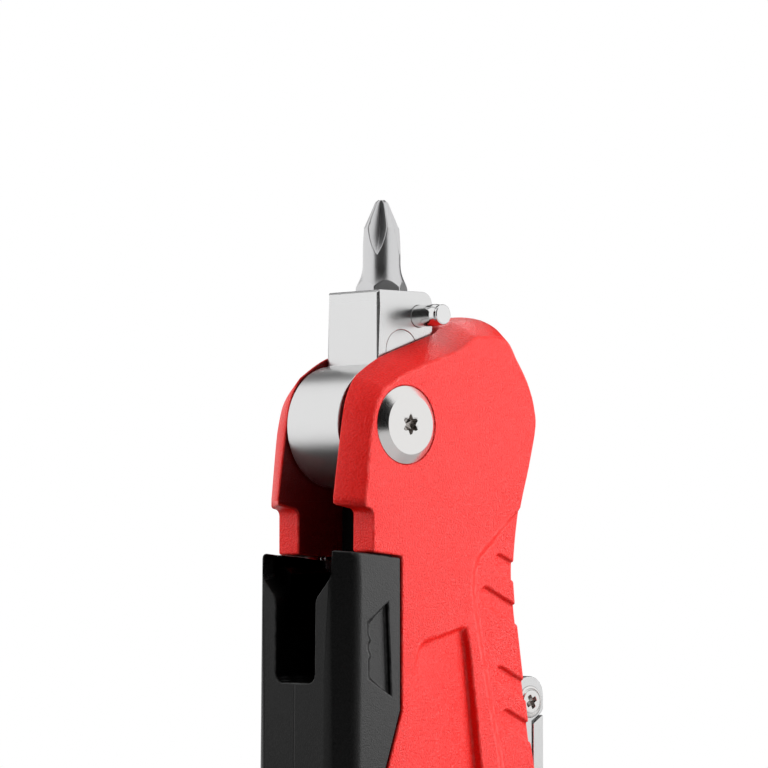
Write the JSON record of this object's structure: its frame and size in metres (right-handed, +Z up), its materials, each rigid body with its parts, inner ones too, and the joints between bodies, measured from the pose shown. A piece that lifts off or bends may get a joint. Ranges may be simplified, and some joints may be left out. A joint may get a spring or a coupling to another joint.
{
  "type": "folding utility knife",
  "caption": "Folding utility knife with a flip-out bit driver, a spine-folding blade carrier and a hinged spare-blade door in a clamshell handle.",
  "frame": {"origin": "middle of the flat butt, on the locating lug at the handle's mid-plane", "axes": "+Z up the handle to the driver end, -Y to the front with the storage door, +Y to the spine where the blade folds in, +X out of the right broad side"},
  "size_m": [0.0213, 0.0453, 0.1314],
  "materials": {
    "red_coat": "fine matt powder coat",
    "black_plastic": "fine moulded grain",
    "bright_plate": "satin nickel plate",
    "ground_steel": "ground",
    "blade_steel": "ground with a honed edge",
    "bronze": "satin"
  },
  "bodies": {
    "handle": {"handle_shell_right": "red_coat", "handle_shell_left": "red_coat", "inner_spacer": "black_plastic", "handle_screw_1": "ground_steel", "handle_screw_2": "ground_steel", "handle_screw_3": "ground_steel", "driver_pivot_screw": "bright_plate", "driver_pivot_nut": "bright_plate", "driver_detent_spring": "ground_steel", "door_hinge_pin": "ground_steel", "spare_blade_1": "blade_steel", "spare_blade_2": "blade_steel", "spare_blade_3": "blade_steel", "spare_blade_4": "blade_steel", "blade_pivot_screw": "bright_plate", "blade_pivot_nut": "bright_plate", "pivot_washer_right": "bronze", "pivot_washer_left": "bronze", "lock_spring": "ground_steel"},
    "driver": {"bit_holder": "bright_plate", "thumb_stud_right": "bright_plate", "thumb_stud_left": "bright_plate", "socket_plug": "bright_plate", "socket_magnet": "ground_steel", "driver_bit": "ground_steel"},
    "door": {"storage_door": "black_plastic"},
    "blade": {"utility_blade": "blade_steel", "blade_carrier": "bright_plate", "carrier_cover": "bright_plate", "clamp_screw": "ground_steel"},
    "release": {"blade_release_button": "bright_plate"},
    "lock": {"lock_button": "ground_steel"}
  },
  "joints": [
    {"name": "driver_fold", "type": "hinge", "parent": "handle", "child": "driver", "pos_m": [0, -0.0037, 0.0998], "axis": [1, 0, 0], "range_deg": [0, 175]},
    {"name": "blade_fold", "type": "hinge", "parent": "handle", "child": "blade", "pos_m": [0, 0.014, 0.012], "axis": [-1, 0, 0], "range_deg": [0, 180]},
    {"name": "door_flip", "type": "hinge", "parent": "handle", "child": "door", "pos_m": [0, -0.0125, 0.042], "axis": [1, 0, 0], "range_deg": [0, 35]},
    {"name": "release_press", "type": "slide", "parent": "blade", "child": "release", "axis": [0, -1, 0], "range_m": [0, 0.0008], "stiffness_N_per_m": 800},
    {"name": "lock_press", "type": "slide", "parent": "handle", "child": "lock", "axis": [-1, 0, 0], "range_m": [0, 0.0018], "stiffness_N_per_m": 600}
  ]
}
